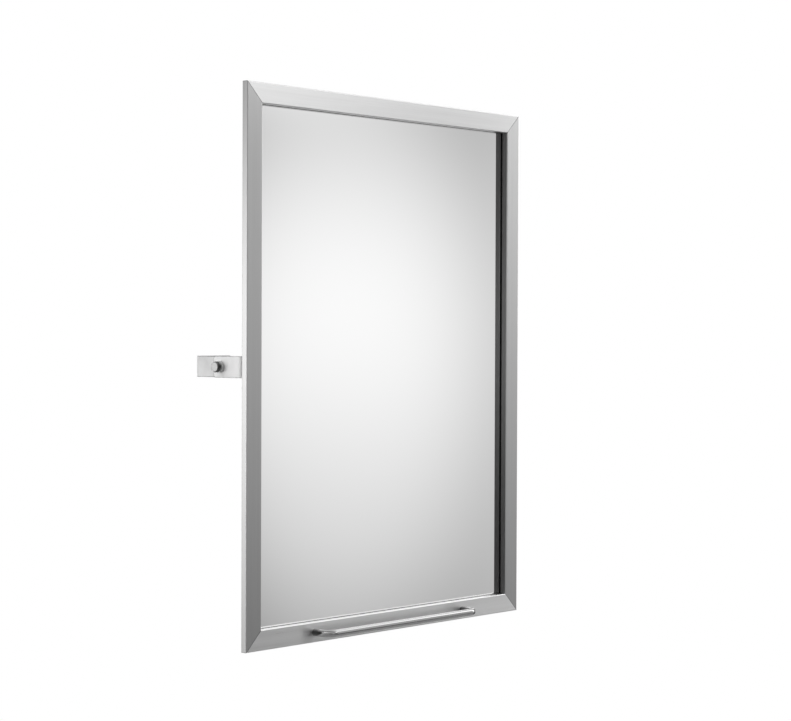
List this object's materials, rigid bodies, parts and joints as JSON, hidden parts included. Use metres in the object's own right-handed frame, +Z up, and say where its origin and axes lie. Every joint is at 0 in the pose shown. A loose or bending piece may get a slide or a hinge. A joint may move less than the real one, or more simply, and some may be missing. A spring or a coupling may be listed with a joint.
{
  "type": "pivot wall mirror",
  "caption": "Rectangular glass mirror in a mitred stainless tube frame that tilts on friction pivots between wall brackets, with a rod handle on its bottom rail.",
  "frame": {"origin": "on the wall, midway between the two brackets, at the height of the pivot axis", "axes": "+Z up, +Y into the wall, the mirror faces -Y"},
  "size_m": [0.4682, 0.11, 0.6],
  "materials": {
    "satin_steel": "satin, brushed along each tube",
    "handle_steel": "fine satin, drawn rod",
    "bracket_steel": "smooth rolled sheet",
    "pan_steel": "zinc coated sheet",
    "fastener_steel": "plain stainless fasteners",
    "mirror": "polished silvered glass",
    "black_tape": "matt closed-cell foam tape",
    "black_rubber": "matt",
    "foam": "soft closed-cell foam sheet",
    "nylon": "smooth nylon"
  },
  "bodies": {
    "wall_brackets": {"left_wall_bracket": "bracket_steel", "right_wall_bracket": "bracket_steel"},
    "mirror": {"frame_top_rail": "satin_steel", "frame_bottom_rail": "satin_steel", "frame_left_stile": "satin_steel", "frame_right_stile": "satin_steel", "glazing_tape": "black_tape", "mirror_glass": "mirror", "setting_blocks": "black_rubber", "foam_pad": "foam", "back_pan": "pan_steel", "back_pan_screws": "fastener_steel", "handle": "handle_steel", "handle_screws": "fastener_steel", "left_threaded_strip": "pan_steel", "right_threaded_strip": "pan_steel", "left_pivot_plate": "bracket_steel", "right_pivot_plate": "bracket_steel", "pivot_plate_screws": "fastener_steel", "left_pivot_bolt": "fastener_steel", "right_pivot_bolt": "fastener_steel", "left_lock_washer": "fastener_steel", "right_lock_washer": "fastener_steel", "left_spacer_washer": "fastener_steel", "right_spacer_washer": "fastener_steel", "left_friction_disc": "nylon", "right_friction_disc": "nylon", "left_inner_washer": "fastener_steel", "right_inner_washer": "fastener_steel", "left_lock_nut": "fastener_steel", "right_lock_nut": "fastener_steel"}
  },
  "joints": [
    {"name": "tilt", "type": "hinge", "parent": "wall_brackets", "child": "mirror", "pos_m": [0, -0.0445, 0], "axis": [1, 0, 0], "range_deg": [-12, 12]}
  ]
}
